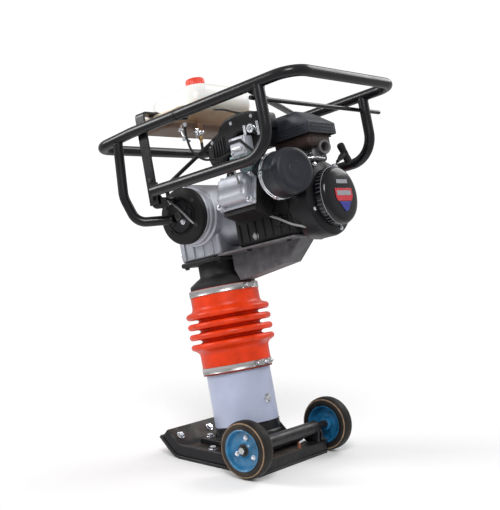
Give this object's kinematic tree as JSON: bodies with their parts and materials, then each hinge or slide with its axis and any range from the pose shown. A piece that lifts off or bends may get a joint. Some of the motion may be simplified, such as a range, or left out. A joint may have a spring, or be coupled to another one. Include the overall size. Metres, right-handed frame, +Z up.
{
  "type": "tamping rammer",
  "caption": "Upright tamping rammer: a plated shoe on a sprung leg with a rubber bellows, driven by a small engine inside a tubular loop handle with a fuel tank.",
  "frame": {"origin": "point of the sole's flat underside where the leg's axis meets the ground", "axes": "+X forward towards the turned-up toe, +Y to the machine's left (air cleaner side), +Z up; the leg leans 13.2 degrees forward from +Z towards +X"},
  "size_m": [0.6787, 0.5765, 1.0267],
  "materials": {
    "black_rubber": "matt black",
    "black_steel": "semi-gloss black paint",
    "blue_rim": "blue paint",
    "cap_red": "red-orange moulding",
    "cast_aluminium": "sand-cast, satin",
    "clamp_steel": "bright rolled band",
    "dark_casting": "dark painted casting",
    "engine_plastic": "black moulding",
    "leg_paint": "silver-lavender paint",
    "machined_steel": "machined, oiled",
    "muffler_steel": "heat-browned sheet",
    "orange_rubber": "satin moulded rubber",
    "shoe_steel": "worn black paint, dusty",
    "spring_steel": "dark oiled wire",
    "tank_white": "translucent white moulding",
    "tyre_rubber": "matt black",
    "zinc": "bright plated"
  },
  "bodies": {
    "foot": {"sole_plate": "shoe_steel", "shoe_board": "shoe_steel", "foot_flange": "shoe_steel", "foot_bolt_front_left": "zinc", "foot_bolt_front_right": "zinc", "foot_bolt_rear_left": "zinc", "foot_bolt_rear_right": "zinc", "leg_sleeve": "leg_paint", "spring_cylinder": "machined_steel", "oil_sight_plug": "zinc", "lower_clamp": "clamp_steel", "bellows": "orange_rubber", "lower_spring": "spring_steel", "upper_spring": "spring_steel", "wheel_axle": "black_steel", "axle_brackets": "shoe_steel", "left_axle_nut": "black_steel", "right_axle_nut": "black_steel"},
    "piston": {"piston_rod": "machined_steel"},
    "left_wheel": {"left_tyre": "tyre_rubber", "left_rim": "blue_rim"},
    "right_wheel": {"right_tyre": "tyre_rubber", "right_rim": "blue_rim"},
    "power_head": {"guide_cylinder": "dark_casting", "crankcase": "cast_aluminium", "crankcase_cover": "cast_aluminium", "upper_clamp": "clamp_steel", "left_rubber_mount": "black_rubber", "right_rubber_mount": "black_rubber", "engine_bracket": "dark_casting", "engine_block": "cast_aluminium", "engine_cylinder": "dark_casting", "rocker_cover": "cast_aluminium", "fan_shroud": "engine_plastic", "recoil_cover": "engine_plastic", "air_cleaner_base": "clamp_steel", "air_cleaner_cover": "engine_plastic", "carburettor": "cast_aluminium", "intake_cover": "engine_plastic", "muffler": "muffler_steel", "muffler_hood": "engine_plastic"},
    "crank": {"crank_gear": "machined_steel"},
    "drum": {"clutch_drum": "machined_steel"},
    "rod": {"connecting_rod": "machined_steel"},
    "engine_shaft": {"engine_crankshaft": "machined_steel", "flywheel_fan": "cast_aluminium"},
    "starter": {"starter_grip": "black_rubber"},
    "choke": {"choke_lever": "zinc"},
    "handle": {"handle_loop": "black_steel", "left_side_rail": "black_steel", "right_side_rail": "black_steel", "left_mount_frame": "black_steel", "right_mount_frame": "black_steel", "cross_rod": "black_steel", "diagonal_stay": "black_steel", "fuel_tank": "tank_white", "throttle_cable": "black_rubber"},
    "cap": {"fuel_cap": "cap_red"},
    "fuel_tap": {"fuel_tap_lever": "engine_plastic"},
    "throttle": {"throttle_lever": "engine_plastic"}
  },
  "joints": [
    {"name": "leg_stroke", "type": "slide", "parent": "foot", "child": "power_head", "axis": [0.2284, 0, 0.9736], "range_m": [-0.03, 0.04], "stiffness_N_per_m": 20000, "springref_m": 0.0203, "deforming": ["bellows"]},
    {"name": "piston_slide", "type": "slide", "parent": "foot", "child": "piston", "axis": [0.2284, 0, 0.9736], "range_m": [-0.03, 0.04], "deforming": ["lower_spring", "upper_spring"]},
    {"name": "left_wheel_spin", "type": "hinge", "parent": "foot", "child": "left_wheel", "pos_m": [-0.1202, 0.1773, 0.0745], "axis": [0, 1, 0], "continuous": true},
    {"name": "right_wheel_spin", "type": "hinge", "parent": "foot", "child": "right_wheel", "pos_m": [-0.1202, -0.1773, 0.0745], "axis": [0, 1, 0], "continuous": true},
    {"name": "crank_spin", "type": "hinge", "parent": "power_head", "child": "crank", "pos_m": [0.12956, 0, 0.55236], "axis": [0.9736, 0, -0.2284], "continuous": true},
    {"name": "drum_spin", "type": "hinge", "parent": "power_head", "child": "drum", "pos_m": [0.14226, 0, 0.60654], "axis": [0.9736, 0, -0.2284], "continuous": true},
    {"name": "rod_pivot", "type": "hinge", "parent": "crank", "child": "rod", "pos_m": [0.12613, 0, 0.53776], "axis": [0.9736, 0, -0.2284], "continuous": true},
    {"name": "engine_spin", "type": "hinge", "parent": "power_head", "child": "engine_shaft", "pos_m": [0.14226, 0, 0.60654], "axis": [0.9736, 0, -0.2284], "continuous": true},
    {"name": "starter_pull", "type": "slide", "parent": "power_head", "child": "starter", "axis": [-0.3892, -0.751, 0.5335], "range_m": [0, 0.55], "stiffness_N_per_m": 40, "springref_m": -0.1},
    {"name": "choke_turn", "type": "hinge", "parent": "power_head", "child": "choke", "pos_m": [-0.17829, 0.028, 0.78136], "axis": [0.2284, 0, 0.9736], "range_deg": [0, 60]},
    {"name": "handle_rock", "type": "hinge", "parent": "power_head", "child": "handle", "pos_m": [0.13611, 0, 0.64599], "axis": [0, 1, 0], "range_deg": [-1.5, 1.5], "stiffness_Nm_per_rad": 6000, "springref_deg": 0.08},
    {"name": "cap_lift", "type": "slide", "parent": "handle", "child": "cap", "axis": [0.2284, 0, 0.9736], "range_m": [0, 0.03]},
    {"name": "fuel_tap_turn", "type": "hinge", "parent": "handle", "child": "fuel_tap", "pos_m": [0.13761, 0.0745, 0.87572], "axis": [0, 1, 0], "range_deg": [0, 90]},
    {"name": "throttle_turn", "type": "hinge", "parent": "handle", "child": "throttle", "pos_m": [0.06619, 0.2015, 0.89966], "axis": [0, 1, 0], "range_deg": [0, 60]}
  ],
  "couplings": [
    {"joint": "piston_slide", "follows": "leg_stroke", "ratio": 1},
    {"joint": "drum_spin", "follows": "crank_spin", "ratio": -4.8889},
    {"joint": "rod_pivot", "follows": "crank_spin", "ratio": -1}
  ]
}
